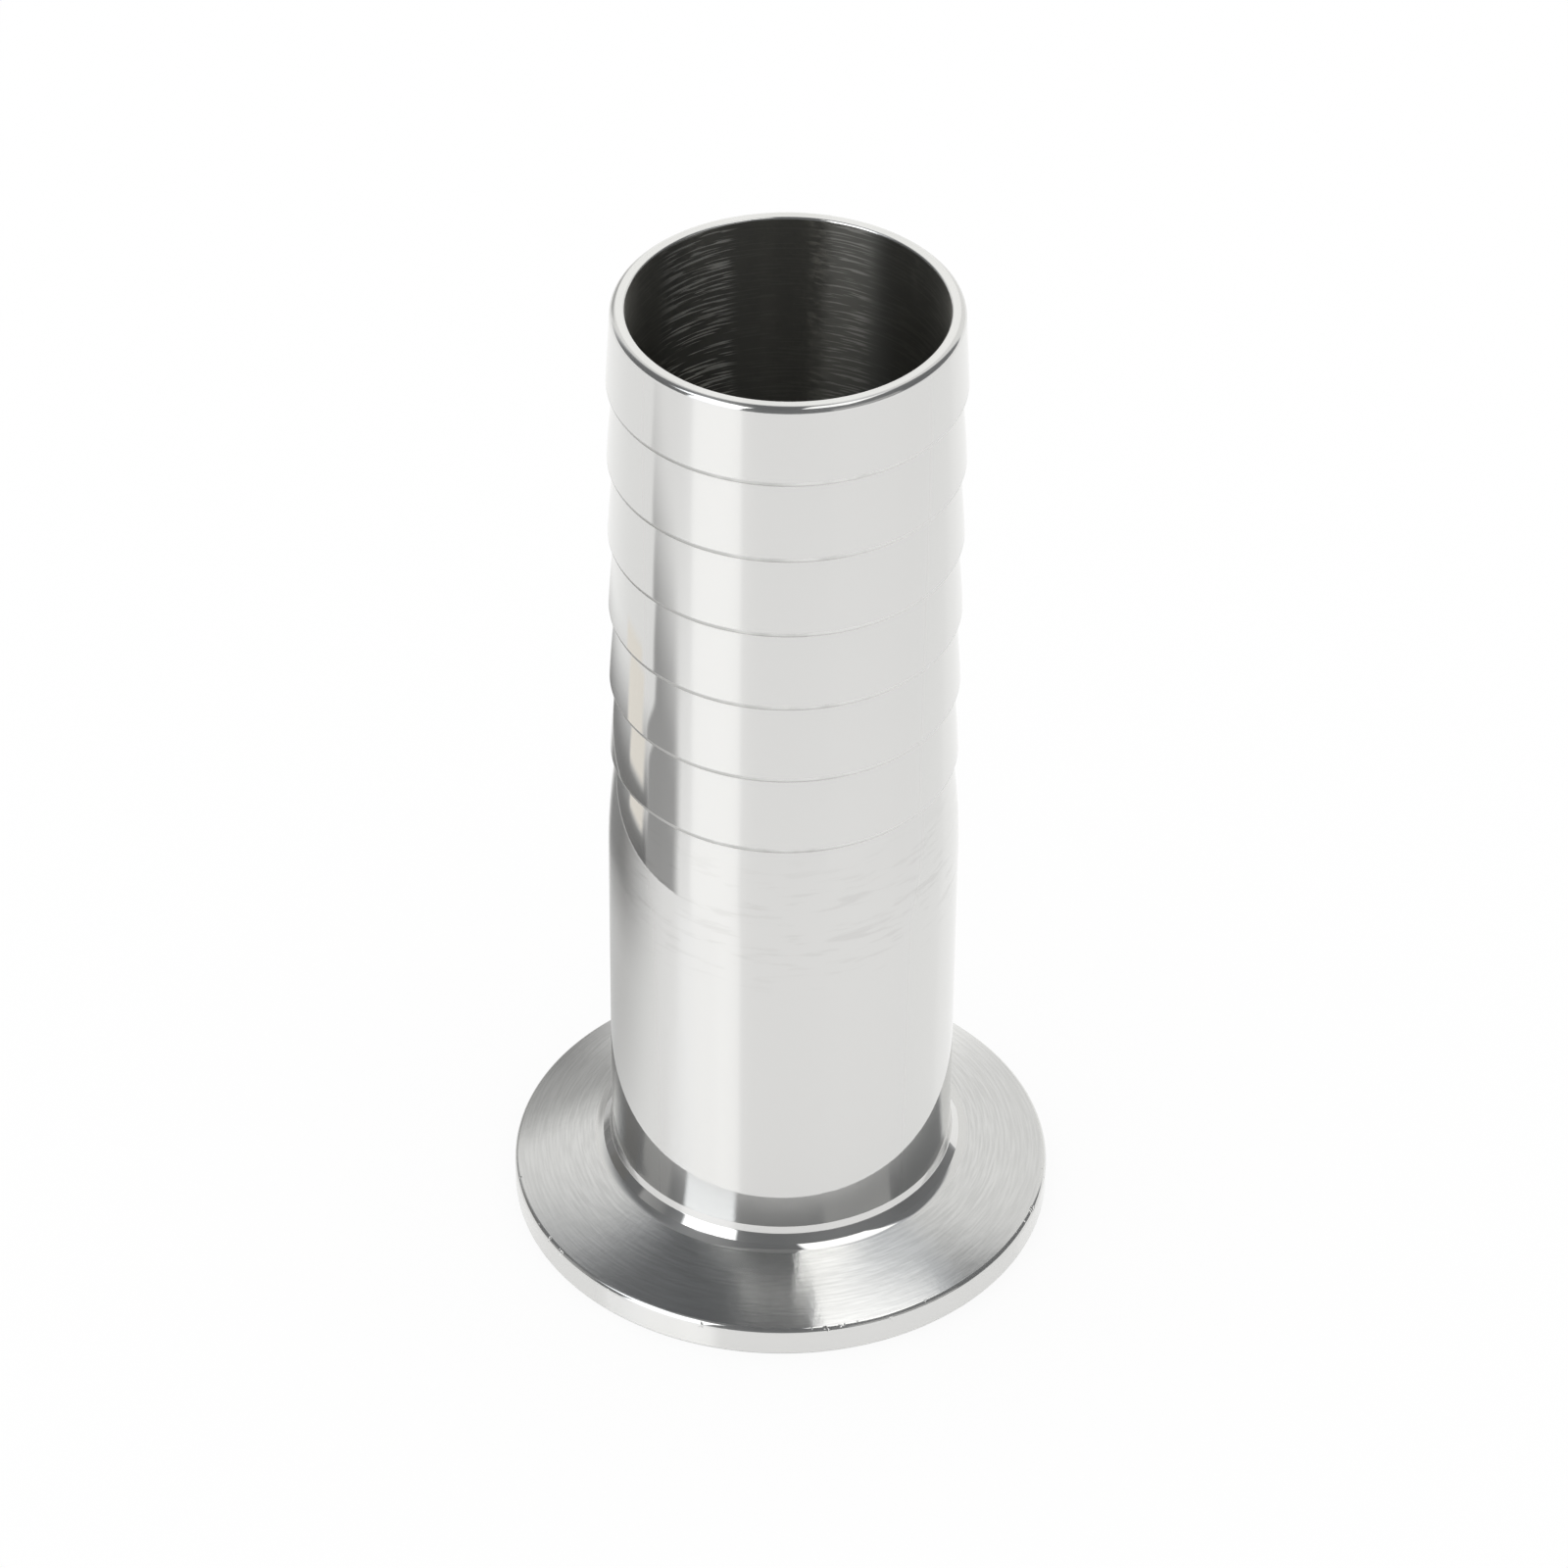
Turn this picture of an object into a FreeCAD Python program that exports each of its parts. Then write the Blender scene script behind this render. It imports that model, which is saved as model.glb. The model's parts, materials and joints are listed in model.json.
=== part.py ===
import FreeCAD, Part

import math
import os

import Sketcher
from FreeCAD import Vector

# Sanitary clamp hose barb, turned in one piece from stainless steel.
# Millimetres. The clamp face lies in the XY plane with its centre at the origin,
# and the bore runs up +Z to the end that goes into the hose.

NODE = "hose_barb"

# Driving dimensions: alias, value, meaning
SIZES = [
    ("overall_length", 99, "clamp face to tip"),
    ("flange_diameter", 50.5, "clamp flange, outside"),
    ("rim_height", 2.85, "straight rim of the flange, up to its sharp corner"),
    ("cone_angle", 20, "slope of the flange's back, in degrees from the clamp face"),
    ("rim_edge_radius", 0.6, "round between the rim and the back"),
    ("face_edge_break", 0.25, "bevel between the rim and the clamp face"),
    ("groove_inset", 3.45, "middle of the gasket groove, in from the rim"),
    ("groove_radius", 2.3, "section of the gasket groove"),
    ("groove_depth", 1.4, "gasket groove, below the clamp face"),
    ("groove_edge_break", 0.3, "bevels at the mouth of the gasket groove"),
    ("foot_rise", 0.87, "height of the steep bevel at the foot of the neck"),
    ("foot_slope", 40, "that bevel's slope, in degrees from upright"),
    ("foot_hollow_radius", 1.5, "hollow between the flange's back and that bevel"),
    ("collar_rise", 0.7, "height of the fine bevel above it, up to the shank"),
    ("collar_slope", 16, "that bevel's slope, in degrees from upright"),
    ("tube_diameter", 32, "smooth shank, outside"),
    ("wall_thickness", 2, "shank, outside to bore"),
    ("runout_length", 11, "curved fall from the shank to the lowest barb"),
    ("barb_count", 6, "barbs, with the one at the tip"),
    ("barb_pitch", 7.94, "crest to crest"),
    ("crest_relief", 0.25, "crest below the shank's surface"),
    ("barb_depth", 0.65, "root below the crest"),
    ("barb_crown_radius", 134, "gentle bulge along each barb"),
    ("crest_edge_break", 0.25, "bevel on each crest"),
    ("tip_length", 7.94, "last crest to the tip"),
    ("tip_drop", 0.45, "tip's edge below the crest"),
    ("tip_edge_radius", 0.65, "round outside the tip"),
    ("bore_edge_break", 0.2, "bevels at both ends of the bore"),
]

# Radii and heights worked out from the driving dimensions
FLANGE_RADIUS = "sizes.flange_diameter / 2"
TUBE_RADIUS = "sizes.tube_diameter / 2"
BORE_RADIUS = TUBE_RADIUS + " - sizes.wall_thickness"
CREST_RADIUS = TUBE_RADIUS + " - sizes.crest_relief"
ROOT_RADIUS = CREST_RADIUS + " - sizes.barb_depth"
TIP_RADIUS = CREST_RADIUS + " - sizes.tip_drop"
RIM_HEIGHT = "sizes.rim_height"
CONE_RISE = "tan(sizes.cone_angle * 1deg)"
COLLAR_RADIUS = TUBE_RADIUS + " + sizes.collar_rise * tan(sizes.collar_slope * 1deg)"
FOOT_RADIUS = COLLAR_RADIUS + " + sizes.foot_rise * tan(sizes.foot_slope * 1deg)"
FOOT_HEIGHT = RIM_HEIGHT + " + (%s - (%s)) * %s" % (FLANGE_RADIUS, FOOT_RADIUS, CONE_RISE)
COLLAR_HEIGHT = FOOT_HEIGHT + " + sizes.foot_rise"
NECK_HEIGHT = COLLAR_HEIGHT + " + sizes.collar_rise"
TIP_HEIGHT = "sizes.overall_length"
LAST_CREST_HEIGHT = TIP_HEIGHT + " - sizes.tip_length"
SECOND_CREST_HEIGHT = LAST_CREST_HEIGHT + " - (sizes.barb_count - 2) * sizes.barb_pitch"
FIRST_CREST_HEIGHT = LAST_CREST_HEIGHT + " - (sizes.barb_count - 1) * sizes.barb_pitch"
SHANK_END_HEIGHT = FIRST_CREST_HEIGHT + " - sizes.runout_length"
GROOVE_MIDDLE = FLANGE_RADIUS + " - sizes.groove_inset"
GROOVE_CENTRE_BELOW = "sizes.groove_radius - sizes.groove_depth"
GROOVE_HALF_WIDTH = "sqrt(sizes.groove_depth * (2 * sizes.groove_radius - sizes.groove_depth))"

FULL_TURN = 360
SAME_PLACE = 1e-4

# Sketcher's numbers for the origin and for the points of an edge
ORIGIN = -1
START, END, CENTRE = 1, 2, 3


def make_sheet(doc):
    sheet = doc.addObject("Spreadsheet::Sheet", "sizes")
    for row, (alias, value, meaning) in enumerate(SIZES, 1):
        sheet.set("A%d" % row, meaning)
        sheet.set("B%d" % row, str(value))
        sheet.setAlias("B%d" % row, alias)
    doc.recompute()


def number(item, formula):
    """What a formula of the sheet's dimensions comes to."""
    return float(item.evalExpression(formula))


def point(item, radius, height):
    """Point of a section, at a radius and a height given as formulas."""
    return Vector(number(item, radius), number(item, height), 0)


def origin_feature(body, role):
    for feature in body.Origin.OriginFeatures:
        if feature.Role == role:
            return feature
    raise RuntimeError("the body has no " + role)


def make_sketch(body, name, plane="XZ_Plane"):
    sketch = body.newObject("Sketcher::SketchObject", name)
    sketch.AttachmentSupport = (origin_feature(body, plane), [""])
    sketch.MapMode = "FlatFace"
    return sketch


def dimension(sketch, name, formula, *constraint):
    """Add a dimension to a sketch and bind it to the sheet."""
    index = sketch.addConstraint(Sketcher.Constraint(*constraint, number(sketch, formula)))
    sketch.renameConstraint(index, name)
    sketch.setExpression("Constraints." + name, formula)


def dimension_point(sketch, name, edge, end, radius=None, height=None):
    """Dimension one end of an edge from the origin, across, up or both."""
    if radius:
        dimension(sketch, name + "_radius", radius, "DistanceX", ORIGIN, START, edge, end)
    if height:
        dimension(sketch, name + "_height", height, "DistanceY", ORIGIN, START, edge, end)


def close_loop(sketch, sides):
    """Join the end of each side to the start of the next one."""
    for side in range(sides):
        following = (side + 1) % sides
        sketch.addConstraint(Sketcher.Constraint("Coincident", side, END, following, START))


def revolve(body, kind, sketch, name):
    """Turn a section about the body's long axis, as metal added or cut away."""
    feature = body.newObject("PartDesign::" + kind, name)
    feature.Profile = sketch
    feature.ReferenceAxis = (sketch, ["V_Axis"])
    feature.Angle = FULL_TURN
    return feature


def turn_blank(body):
    """Flange with its sloping back, bevelled neck, and the bar that becomes the shank and barbs."""
    sketch = make_sketch(body, "blank_section")
    corners = [
        Vector(0, 0, 0),
        point(body, FLANGE_RADIUS, "0"),
        point(body, FLANGE_RADIUS, RIM_HEIGHT),
        point(body, FOOT_RADIUS, FOOT_HEIGHT),
        point(body, COLLAR_RADIUS, COLLAR_HEIGHT),
        point(body, TUBE_RADIUS, NECK_HEIGHT),
        point(body, TUBE_RADIUS, TIP_HEIGHT),
        point(body, "0", TIP_HEIGHT),
    ]
    face, rim, back, foot, collar, shank, tip, axis = range(len(corners))
    for corner, following in zip(corners, corners[1:] + corners[:1]):
        sketch.addGeometry(Part.LineSegment(corner, following))
    close_loop(sketch, len(corners))
    sketch.addConstraint(Sketcher.Constraint("Coincident", face, START, ORIGIN, START))
    for side in (face, tip):
        sketch.addConstraint(Sketcher.Constraint("Horizontal", side))
    for side in (rim, shank, axis):
        sketch.addConstraint(Sketcher.Constraint("Vertical", side))
    dimension_point(sketch, "rim", rim, END, FLANGE_RADIUS, RIM_HEIGHT)
    dimension_point(sketch, "foot", back, END, FOOT_RADIUS, FOOT_HEIGHT)
    dimension_point(sketch, "collar", foot, END, COLLAR_RADIUS, COLLAR_HEIGHT)
    dimension_point(sketch, "neck", collar, END, TUBE_RADIUS, NECK_HEIGHT)
    dimension_point(sketch, "tip", shank, END, height=TIP_HEIGHT)
    return revolve(body, "Revolution", sketch, "blank")


def turn_ring_cut(body, name, low, high, crown=None):
    """Cut away the ring outside an arc that rises from one corner to another.

    Each corner is a radius and a height. Without a crown radius the arc starts
    straight up, in line with the shank below it.
    """
    sketch = make_sketch(body, name + "_section")
    start, end = point(body, *low), point(body, *high)
    chord = end - start
    radius = number(body, crown) if crown else chord.Length ** 2 / (-2 * chord.x)
    to_centre = Vector(-chord.y, chord.x, 0).normalize() * math.sqrt(radius ** 2 - chord.Length ** 2 / 4)
    centre = (start + end) / 2 + to_centre
    angles = [math.atan2(corner.y - centre.y, corner.x - centre.x) for corner in (start, end)]
    high_outside = point(body, FLANGE_RADIUS, high[1])
    low_outside = point(body, FLANGE_RADIUS, low[1])

    arc, top, outside, bottom = range(4)
    sketch.addGeometry(Part.ArcOfCircle(Part.Circle(centre, Vector(0, 0, 1), radius), *angles))
    sketch.addGeometry(Part.LineSegment(end, high_outside))
    sketch.addGeometry(Part.LineSegment(high_outside, low_outside))
    sketch.addGeometry(Part.LineSegment(low_outside, start))
    close_loop(sketch, 4)
    sketch.addConstraint(Sketcher.Constraint("Horizontal", top))
    sketch.addConstraint(Sketcher.Constraint("Vertical", outside))
    sketch.addConstraint(Sketcher.Constraint("Horizontal", bottom))
    dimension_point(sketch, "low", arc, START, *low)
    dimension_point(sketch, "high", arc, END, *high)
    dimension_point(sketch, "outside", outside, START, radius=FLANGE_RADIUS)
    if crown:
        dimension(sketch, "crown", crown, "Radius", arc)
    else:
        sketch.addConstraint(Sketcher.Constraint("Horizontal", arc, CENTRE, arc, START))
    return revolve(body, "Groove", sketch, name)


def repeat_barbs(body, barb):
    """Repeat the lowest barb's cut up to the one below the tip's."""
    pattern = body.newObject("PartDesign::LinearPattern", "barbs")
    pattern.Originals = [barb]
    pattern.Direction = (origin_feature(body, "Z_Axis"), [""])
    pattern.Mode = "Spacing"
    pattern.setExpression("Offset", "sizes.barb_pitch")
    pattern.setExpression("Occurrences", "sizes.barb_count - 1")
    body.Tip = pattern
    return pattern


def turn_gasket_groove(body):
    """Shallow round-bottomed ring in the clamp face, for the gasket's bead."""
    sketch = make_sketch(body, "gasket_groove_section")
    centre = point(body, GROOVE_MIDDLE, "-(%s)" % GROOVE_CENTRE_BELOW)
    sketch.addGeometry(Part.Circle(centre, Vector(0, 0, 1), number(body, "sizes.groove_radius")))
    dimension(sketch, "middle", GROOVE_MIDDLE, "DistanceX", ORIGIN, START, 0, CENTRE)
    dimension(sketch, "below", GROOVE_CENTRE_BELOW, "DistanceY", 0, CENTRE, ORIGIN, START)
    dimension(sketch, "section", "sizes.groove_radius", "Radius", 0)
    return revolve(body, "Groove", sketch, "gasket_groove")


def bore_through(body):
    sketch = make_sketch(body, "bore_circle", "XY_Plane")
    sketch.addGeometry(Part.Circle(Vector(0, 0, 0), Vector(0, 0, 1), number(body, BORE_RADIUS)))
    sketch.addConstraint(Sketcher.Constraint("Coincident", 0, CENTRE, ORIGIN, START))
    dimension(sketch, "bore", BORE_RADIUS, "Radius", 0)
    bore = body.newObject("PartDesign::Pocket", "bore")
    bore.Profile = sketch
    bore.Type = "ThroughAll"
    bore.Reversed = True
    return bore


def must_cut(body, make, *details):
    """Make one cutting feature, and stop if it took no metal away."""
    before = body.Shape.Volume
    feature = make(body, *details)
    body.Document.recompute()
    if not body.Shape.Volume < before:
        raise RuntimeError(feature.Name + " cut nothing")
    return feature


def ring_edges(feature, radius, height):
    """Names of the circular edges of one radius at one height."""
    names = []
    for index, edge in enumerate(feature.Shape.Edges, 1):
        curve = edge.Curve
        if not isinstance(curve, Part.Circle) or abs(curve.Radius - radius) > SAME_PLACE:
            continue
        if abs(curve.Center.z - height) < SAME_PLACE:
            names.append("Edge%d" % index)
    if not names:
        raise RuntimeError("%s has no edge of radius %.3f at %.3f" % (feature.Name, radius, height))
    return names


def dress_edges(body, kind, name, size, rings):
    """Round or bevel rings of edges, each given as a radius and a height, by one size of the sheet."""
    base = body.Tip
    edges = []
    for radius, height in rings:
        edges += ring_edges(base, radius, height)
    dressing = body.newObject("PartDesign::" + kind, name)
    dressing.Base = (base, edges)
    dressing.setExpression("Radius" if kind == "Fillet" else "Size", "sizes." + size)
    body.Document.recompute()


def dress_all_edges(body):
    flange, foot, bore = (number(body, size) for size in (FLANGE_RADIUS, FOOT_RADIUS, BORE_RADIUS))
    crest, tip = number(body, CREST_RADIUS), number(body, TIP_RADIUS)
    rim_height, tip_height = number(body, RIM_HEIGHT), number(body, TIP_HEIGHT)
    dress_edges(body, "Fillet", "foot_hollow", "foot_hollow_radius", [(foot, number(body, FOOT_HEIGHT))])
    dress_edges(body, "Fillet", "rim_edge", "rim_edge_radius", [(flange, rim_height)])
    dress_edges(body, "Chamfer", "face_edge", "face_edge_break", [(flange, 0)])

    middle, half_width = number(body, GROOVE_MIDDLE), number(body, GROOVE_HALF_WIDTH)
    groove_mouth = [(middle - half_width, 0), (middle + half_width, 0)]
    dress_edges(body, "Chamfer", "groove_edges", "groove_edge_break", groove_mouth)

    lowest, pitch = number(body, FIRST_CREST_HEIGHT), number(body, "sizes.barb_pitch")
    barbs = range(round(number(body, "sizes.barb_count")))
    crests = [(crest, lowest + barb * pitch) for barb in barbs]
    dress_edges(body, "Chamfer", "crest_edges", "crest_edge_break", crests)

    dress_edges(body, "Fillet", "tip_edge", "tip_edge_radius", [(tip, tip_height)])
    dress_edges(body, "Chamfer", "bore_edges", "bore_edge_break", [(bore, 0), (bore, tip_height)])


def make_hose_barb(doc):
    body = doc.addObject("PartDesign::Body", "HoseBarb")
    body.Label = NODE
    crown = "sizes.barb_crown_radius"
    turn_blank(body)
    doc.recompute()
    must_cut(body, turn_ring_cut, "runout",
             (TUBE_RADIUS, SHANK_END_HEIGHT), (ROOT_RADIUS, FIRST_CREST_HEIGHT))
    barb = must_cut(body, turn_ring_cut, "barb",
                    (CREST_RADIUS, FIRST_CREST_HEIGHT), (ROOT_RADIUS, SECOND_CREST_HEIGHT), crown)
    must_cut(body, repeat_barbs, barb)
    must_cut(body, turn_ring_cut, "tip_barb",
             (CREST_RADIUS, LAST_CREST_HEIGHT), (TIP_RADIUS, TIP_HEIGHT), crown)
    must_cut(body, turn_gasket_groove)
    must_cut(body, bore_through)
    dress_all_edges(body)
    return body


def check(doc, bodies):
    """Stop if any object of the document failed or any sub-part is not one sound solid."""
    for item in doc.Objects:
        if "Invalid" in item.State or "Error" in item.State:
            raise RuntimeError(item.Name + " failed")
    for body in bodies:
        if body.Shape.isNull() or not body.Shape.isValid() or len(body.Shape.Solids) != 1:
            raise RuntimeError(body.Label + " is not one sound solid")


document = FreeCAD.newDocument("sanitary_clamp_hose_barb")
make_sheet(document)
sub_parts = [make_hose_barb(document)]
document.recompute()
check(document, sub_parts)

os.makedirs("parts", exist_ok=True)
for sub_part in sub_parts:
    sub_part.Shape.exportStep("parts/%s.step" % sub_part.Label)
    print(sub_part.Label, "volume", round(sub_part.Shape.Volume, 1), "mm3")
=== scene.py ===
"""Looks, light and camera of the sanitary clamp hose barb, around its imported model."""

import json
import math
from functools import partial
from typing import NamedTuple

import bpy
import numpy as np
from bpy.props import FloatProperty, FloatVectorProperty, IntProperty, PointerProperty
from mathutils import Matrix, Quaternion, Vector


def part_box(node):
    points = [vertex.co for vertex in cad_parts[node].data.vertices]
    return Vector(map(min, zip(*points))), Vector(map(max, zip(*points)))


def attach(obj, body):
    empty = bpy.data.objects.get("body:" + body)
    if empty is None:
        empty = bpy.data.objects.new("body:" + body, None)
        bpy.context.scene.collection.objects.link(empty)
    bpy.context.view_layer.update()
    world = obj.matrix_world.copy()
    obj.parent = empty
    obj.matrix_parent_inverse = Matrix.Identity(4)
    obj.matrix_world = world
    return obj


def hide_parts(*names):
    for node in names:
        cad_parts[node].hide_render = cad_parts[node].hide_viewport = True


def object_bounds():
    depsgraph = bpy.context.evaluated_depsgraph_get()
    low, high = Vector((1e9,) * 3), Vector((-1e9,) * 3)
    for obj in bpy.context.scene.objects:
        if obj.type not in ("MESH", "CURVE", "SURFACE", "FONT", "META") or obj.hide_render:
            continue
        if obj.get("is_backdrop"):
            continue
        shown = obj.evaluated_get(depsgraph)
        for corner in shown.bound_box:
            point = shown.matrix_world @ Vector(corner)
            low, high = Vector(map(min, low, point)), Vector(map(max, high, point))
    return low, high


bl_info = {
    "name": "Sanitary Clamp Hose Barb",
    "version": (1, 0, 0),
    "blender": (4, 5, 0),
    "location": "3D View > Sidebar > Hose Barb",
    "description": "A polished hose barb with its clamp flange, on a white table in soft light",
    "category": "Add Mesh",
}

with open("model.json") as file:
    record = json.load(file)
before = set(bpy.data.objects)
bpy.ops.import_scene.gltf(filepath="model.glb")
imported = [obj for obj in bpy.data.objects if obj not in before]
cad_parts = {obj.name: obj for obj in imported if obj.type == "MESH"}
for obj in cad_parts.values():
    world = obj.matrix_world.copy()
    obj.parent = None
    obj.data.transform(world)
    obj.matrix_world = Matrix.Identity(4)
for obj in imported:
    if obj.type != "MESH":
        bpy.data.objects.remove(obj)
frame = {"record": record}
CAD_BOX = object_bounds()

NODE = "hose_barb"
MM = 0.001

TIP_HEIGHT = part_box(NODE)[1].z
MOUNTS = {mount["name"]: mount for mount in frame["record"]["mounts"]}
FLANGE_RADIUS = MOUNTS["flange_rim"]["dims"]["r_mm"] * MM
SHANK_RADIUS = MOUNTS["hose_shank"]["dims"]["r_mm"] * MM
BORE_RADIUS = MOUNTS["bore"]["dims"]["r_mm"] * MM

# Finishes, in the order of the piece's material slots
POLISHED, BRUSHED, SCRATCHED, TURNED, SHADED_CREST = range(5)

Length = partial(FloatProperty, min=0, precision=5, subtype="DISTANCE", unit="LENGTH")
Depth = partial(FloatProperty, min=0, precision=8, subtype="DISTANCE", unit="LENGTH")
Angle = partial(FloatProperty, subtype="ANGLE", unit="ROTATION")
Colour = partial(FloatVectorProperty, size=3, min=0, max=1, subtype="COLOR")
Share = partial(FloatProperty, min=0, max=1, subtype="FACTOR")
Level = partial(FloatProperty, min=0)


class BarbSizes(bpy.types.PropertyGroup):
    """Sizes of the turned part."""

    overall_length: Length(
        name="Overall Length", description="Clamp face to tip", default=TIP_HEIGHT)
    flange_radius: Length(
        name="Flange Radius", description="Outside of the clamp flange", default=FLANGE_RADIUS)
    rim_height: Length(
        name="Rim Height", description="Straight rim, up to its sharp corner", default=2.85 * MM)
    cone_angle: Angle(
        name="Cone Angle", description="Slope of the flange's back", default=math.radians(20))
    rim_edge: Length(
        name="Rim Edge", description="Round between the rim and the back", default=0.6 * MM)
    face_edge: Length(
        name="Face Edge", description="Round between the rim and the clamp face", default=0.25 * MM)
    cone_crown: Length(
        name="Cone Crown", description="Radius of the slight bulge along the back", default=150 * MM)
    groove_inset: Length(
        name="Groove Inset", description="Middle of the gasket groove, in from the rim",
        default=3.45 * MM)
    groove_section: Length(
        name="Groove Section", description="Radius of the gasket groove's section", default=2.3 * MM)
    groove_depth: Length(
        name="Groove Depth", description="Gasket groove, into the clamp face", default=1.4 * MM)
    groove_edge: Length(
        name="Groove Edge", description="Rounds at the mouth of the gasket groove", default=0.3 * MM)
    apron_radius: Length(
        name="Apron Radius", description="Polished hollow at the top of the back", default=4.2 * MM)
    apron_turn: Angle(
        name="Apron Turn", description="How far that hollow curls up", default=math.radians(12))
    foot_rise: Length(
        name="Foot Rise", description="Height of the bevel at the foot of the neck", default=0.75 * MM)
    foot_slope: Angle(
        name="Foot Slope", description="That bevel, from upright", default=math.radians(40))
    collar_rise: Length(
        name="Collar Rise", description="Height of the bevel above it, up to the shank",
        default=0.7 * MM)
    collar_slope: Angle(
        name="Collar Slope", description="That bevel, from upright", default=math.radians(16))
    neck_round: Length(
        name="Neck Round", description="Rounds at the ends of the collar", default=0.2 * MM)
    shank_radius: Length(
        name="Shank Radius", description="Outside of the smooth shank", default=SHANK_RADIUS)
    bore_radius: Length(
        name="Bore Radius", description="Straight bore", default=BORE_RADIUS)
    runout_length: Length(
        name="Run-out Length", description="Curved fall from the shank to the lowest barb",
        default=11 * MM)
    barb_count: IntProperty(
        name="Barbs", description="Barbs, with the one at the tip", default=6, min=2)
    barb_pitch: Length(
        name="Barb Pitch", description="Crest to crest", default=7.94 * MM)
    crest_relief: Length(
        name="Crest Relief", description="Crest below the shank's surface", default=0.25 * MM)
    barb_depth: Length(
        name="Barb Depth", description="Root below the crest", default=0.65 * MM)
    barb_crown: Length(
        name="Barb Crown", description="Radius of the gentle bulge along each barb", default=134 * MM)
    crest_edge: Length(
        name="Crest Edge", description="Round that polishing leaves on each crest", default=0.65 * MM)
    tip_length: Length(
        name="Tip Length", description="Last crest to the tip", default=7.94 * MM)
    tip_drop: Length(
        name="Tip Drop", description="Tip's edge below the crest", default=0.45 * MM)
    tip_edge: Length(
        name="Tip Edge", description="Round outside the tip", default=0.65 * MM)
    bore_edge: Length(
        name="Bore Edge", description="Rounds at both ends of the bore", default=0.2 * MM)
    segments: IntProperty(
        name="Segments", description="Flat sides of each ring of the mesh", default=360, min=24)


class Pen:
    """Draws the section of a turned part, with the metal on the left of its path.

    Points are a radius and a height. Each side keeps its two ends, the surface's
    normals there and its finish, so that shading follows the true curves.
    """

    ROUND_STEP = math.radians(9)
    FINE_STEP = math.radians(2)
    CURVE_STEPS = 8

    def __init__(self, start, finish):
        self.point = Vector(start)
        self.finish = finish
        self.sides = []

    def side(self, end, start_normal, end_normal):
        """Draw a side straight to its end, with the surface's normals at its start and end."""
        self.sides.append((self.point, end, start_normal, end_normal, self.finish))
        self.point = end

    def line_to(self, end):
        end = Vector(end)
        along = (end - self.point).normalized()
        normal = Vector((along.y, -along.x))
        self.side(end, normal, normal)

    def turn_about(self, centre, angle, steps):
        """Follow an arc about a centre by a signed angle, counterclockwise if positive."""
        out = self.point - centre
        outward = 1 if angle > 0 else -1
        start = math.atan2(out.y, out.x)
        normals = []
        for step in range(steps + 1):
            turned = start + angle * step / steps
            normals.append(outward * Vector((math.cos(turned), math.sin(turned))))
        for before, after in zip(normals, normals[1:]):
            self.side(centre + outward * out.length * after, before, after)

    def arc_to(self, corner, following, radius):
        """Go towards a corner and round it towards the following point, on an arc of a radius."""
        corner, following = Vector(corner), Vector(following)
        into = (corner - self.point).normalized()
        away = (following - corner).normalized()
        angle = math.atan2(into.x * away.y - into.y * away.x, into.dot(away))
        self.line_to(corner - into * radius * abs(math.tan(angle / 2)))
        left = Vector((-into.y, into.x)) * math.copysign(radius, angle)
        self.turn_about(self.point + left, angle, math.ceil(abs(angle) / self.ROUND_STEP))

    def curl(self, angle, radius):
        """Carry on from the last side on an arc of a radius, by a signed angle."""
        centre = self.point - self.sides[-1][3] * math.copysign(radius, angle)
        self.turn_about(centre, angle, math.ceil(abs(angle) / self.FINE_STEP))

    def bulge_to(self, end, radius):
        """Follow an arc of a radius that bulges away from the metal."""
        chord = Vector(end) - self.point
        half_angle = math.asin(chord.length / 2 / radius)
        inwards = Vector((-chord.y, chord.x)).normalized()
        centre = self.point + chord / 2 + inwards * radius * math.cos(half_angle)
        self.turn_about(centre, 2 * half_angle, self.CURVE_STEPS)


def draw_groove(pen, sizes):
    """Gasket groove in the clamp face, with rounds at its mouth."""
    middle = sizes.flange_radius - sizes.groove_inset
    centre = Vector((middle, sizes.groove_depth - sizes.groove_section))
    rise = sizes.groove_edge - centre.y
    reach = sizes.groove_section + sizes.groove_edge
    across = math.sqrt(reach ** 2 - rise ** 2)
    turn = math.atan2(across, rise)
    edge_steps = math.ceil(turn / pen.ROUND_STEP)
    pen.line_to((middle - across, 0))
    pen.turn_about(Vector((middle - across, sizes.groove_edge)), turn, edge_steps)
    pen.turn_about(centre, -2 * turn, 2 * edge_steps)
    pen.turn_about(Vector((middle + across, sizes.groove_edge)), turn, edge_steps)


def round_crest(pen, crest, end, sizes):
    """Round from the step under a crest to the slope above it, in the rough crest finish with painted
    shade.
    """
    pen.finish = SHADED_CREST
    pen.arc_to(crest, end, sizes.crest_edge)
    pen.finish = POLISHED


def draw_barb(pen, crest, end, sizes):
    """Step out to a crest and fall to the end of its crowned slope."""
    round_crest(pen, crest, end, sizes)
    pen.bulge_to(end, sizes.barb_crown)


def back_at(sizes, radius):
    """The point of the flange's sloping back at a radius."""
    rise = (sizes.flange_radius - radius) * math.tan(sizes.cone_angle)
    return Vector((radius, sizes.rim_height + rise))


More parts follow.
